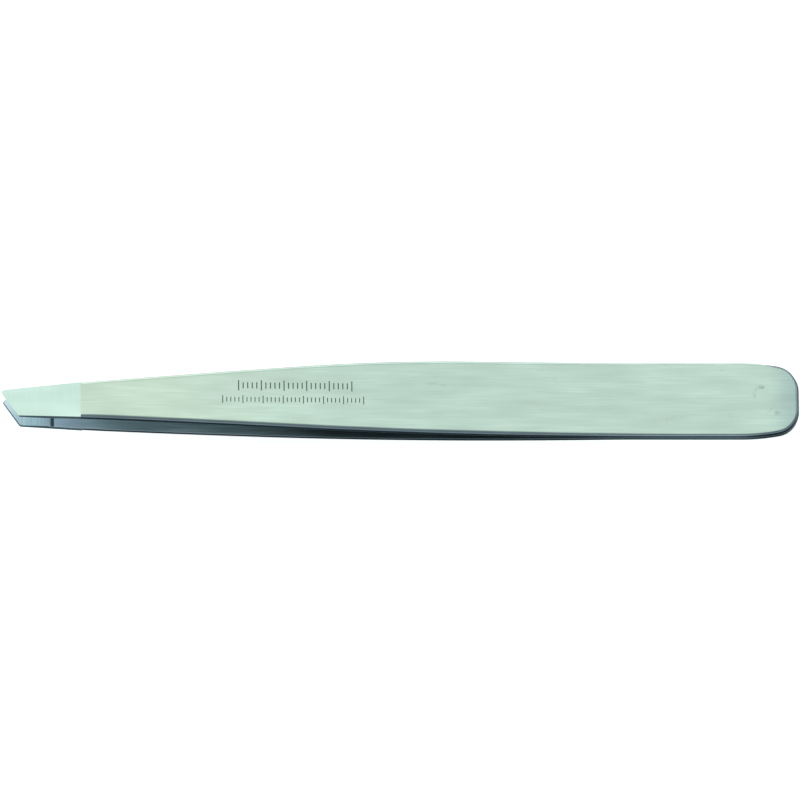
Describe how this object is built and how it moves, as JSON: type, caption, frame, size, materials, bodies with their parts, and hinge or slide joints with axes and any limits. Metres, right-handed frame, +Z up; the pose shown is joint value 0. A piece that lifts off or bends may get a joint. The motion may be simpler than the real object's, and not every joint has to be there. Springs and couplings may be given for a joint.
{
  "type": "slant tweezers",
  "caption": "Steel hand tweezers with slanted ground tips: bowed sprung arms, spot-welded together along a flat rounded heel.",
  "frame": {"origin": "on the table under the middle of the tool's box, as it lies on its lower arm", "axes": "+X from the tips to the heel, +Y towards the long point of the slanted tips, +Z up, through the broad faces"},
  "size_m": [0.095, 0.0088, 0.0086],
  "materials": {
    "arm_steel": "fine lengthwise brushing",
    "weld_metal": "fused, sealed inside the joint"
  },
  "bodies": {
    "heel": {"upper_arm_heel": "arm_steel", "lower_arm_heel": "arm_steel", "front_weld_nugget": "weld_metal", "rear_weld_nugget": "weld_metal"},
    "upper_arm": {"upper_arm_blade": "arm_steel"},
    "lower_arm": {"lower_arm_blade": "arm_steel"}
  },
  "joints": [
    {"name": "upper_arm_flex", "type": "hinge", "parent": "heel", "child": "upper_arm", "pos_m": [0.02461, 0, 0.00231], "axis": [0, -1, 0], "range_deg": [0, 1.98], "stiffness_Nm_per_rad": 5},
    {"name": "lower_arm_flex", "type": "hinge", "parent": "heel", "child": "lower_arm", "pos_m": [0.0246, 0, 0.00209], "axis": [0, 1, 0], "range_deg": [0, 1.98], "stiffness_Nm_per_rad": 5}
  ],
  "couplings": [
    {"joint": "lower_arm_flex", "follows": "upper_arm_flex", "ratio": 1}
  ]
}
